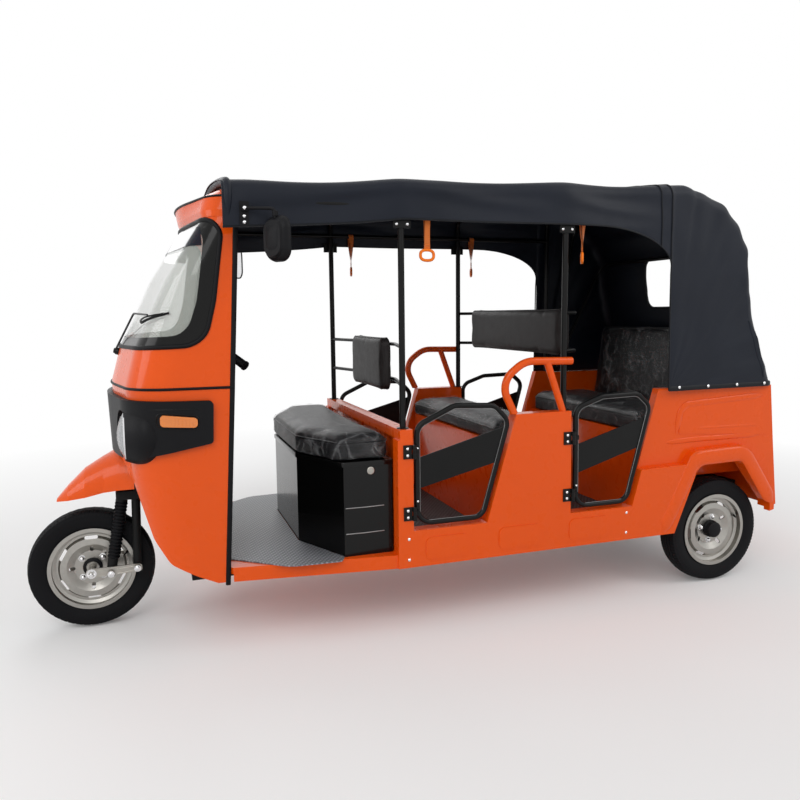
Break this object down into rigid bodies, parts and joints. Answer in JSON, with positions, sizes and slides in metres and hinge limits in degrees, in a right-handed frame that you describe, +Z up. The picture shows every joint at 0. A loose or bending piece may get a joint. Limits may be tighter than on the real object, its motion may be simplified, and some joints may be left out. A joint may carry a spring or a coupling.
{
  "type": "auto rickshaw",
  "caption": "Electric passenger tricycle with an open-sided cab, bench seats under a vinyl canopy, tube-framed doors and a raked steering fork.",
  "frame": {"origin": "on the ground, in the middle of the overall length and width", "axes": "+X forward, +Y to the vehicle's left, +Z up"},
  "size_m": [3.3679, 1.3482, 1.8827],
  "materials": {
    "amber_lens": "amber lens",
    "battery_case": "battery case",
    "black_frame": "satin black paint",
    "black_plastic": "grained moulding",
    "bright_steel": "zinc plated",
    "canopy_vinyl": "coated fabric, blue black",
    "cast_housing": "black coated casting",
    "chassis_black": "semi-matt black chassis paint",
    "clear_glass": "laminated glass",
    "clear_lens": "clear moulded lens",
    "gloss_black_panel": "gloss black paint",
    "orange_paint": "gloss paint",
    "orange_webbing": "woven webbing",
    "red_lens": "red lens",
    "rim_silver": "silver paint",
    "seat_vinyl": "smooth black vinyl",
    "spring_steel": "dark spring steel",
    "tyre_rubber": "tyre rubber"
  },
  "bodies": {
    "body": {"battery": "battery_case", "cab_lower": "orange_paint", "cab_upper": "orange_paint", "canopy": "canopy_vinyl", "chassis_frame": "chassis_black", "dashboard": "black_plastic", "door_hinges": "black_frame", "driver_cushion": "seat_vinyl", "floor_pan": "orange_paint", "front_fender": "orange_paint", "grab_rails": "orange_paint", "hand_straps": "orange_webbing", "headlamp_lenses": "clear_lens", "lamp_band": "black_plastic", "leaf_springs": "spring_steel", "middle_cushion": "seat_vinyl", "middle_seat_base": "orange_paint", "mirrors": "black_plastic", "partition": "orange_paint", "posts": "black_frame", "quarter_panels": "orange_paint", "rack_pads": "seat_vinyl", "rear_axle": "cast_housing", "rear_backrest": "seat_vinyl", "rear_cushion": "seat_vinyl", "rear_seat_base": "orange_paint", "roof_bows": "black_frame", "seat_box": "gloss_black_panel", "side_panels": "orange_paint", "tail_lamps": "red_lens", "tail_panel": "orange_paint", "turn_signals": "amber_lens", "windshield": "clear_glass"},
    "steering": {"fork": "chassis_black", "front_links": "bright_steel", "handlebar": "black_frame"},
    "front_wheel": {"front_tyre": "tyre_rubber", "front_rim": "rim_silver"},
    "rear_left_wheel": {"rear_left_tyre": "tyre_rubber", "rear_left_rim": "rim_silver"},
    "rear_right_wheel": {"rear_right_tyre": "tyre_rubber", "rear_right_rim": "rim_silver"},
    "front_left_door": {"front_door_left": "black_frame"},
    "front_right_door": {"front_door_right": "black_frame"},
    "rear_left_door": {"rear_door_left": "black_frame"},
    "rear_right_door": {"rear_door_right": "black_frame"}
  },
  "joints": [
    {"name": "steering_turn", "type": "hinge", "parent": "body", "child": "steering", "pos_m": [1.26, 0, 0.62], "axis": [-0.342, 0, 0.9397], "range_deg": [-35, 35]},
    {"name": "front_wheel_spin", "type": "hinge", "parent": "steering", "child": "front_wheel", "pos_m": [1.434, 0, 0.25], "axis": [0, 1, 0], "continuous": true},
    {"name": "rear_left_wheel_spin", "type": "hinge", "parent": "body", "child": "rear_left_wheel", "pos_m": [-1.35, 0.485, 0.25], "axis": [0, 1, 0], "continuous": true},
    {"name": "rear_right_wheel_spin", "type": "hinge", "parent": "body", "child": "rear_right_wheel", "pos_m": [-1.35, -0.485, 0.25], "axis": [0, 1, 0], "continuous": true},
    {"name": "front_left_door_swing", "type": "hinge", "parent": "body", "child": "front_left_door", "pos_m": [0.206, 0.6085, 0.63], "axis": [0, 0, -1], "range_deg": [0, 85]},
    {"name": "front_right_door_swing", "type": "hinge", "parent": "body", "child": "front_right_door", "pos_m": [0.206, -0.6085, 0.63], "axis": [0, 0, 1], "range_deg": [0, 85]},
    {"name": "rear_left_door_swing", "type": "hinge", "parent": "body", "child": "rear_left_door", "pos_m": [-0.514, 0.6085, 0.64], "axis": [0, 0, -1], "range_deg": [0, 85]},
    {"name": "rear_right_door_swing", "type": "hinge", "parent": "body", "child": "rear_right_door", "pos_m": [-0.514, -0.6085, 0.64], "axis": [0, 0, 1], "range_deg": [0, 85]}
  ]
}
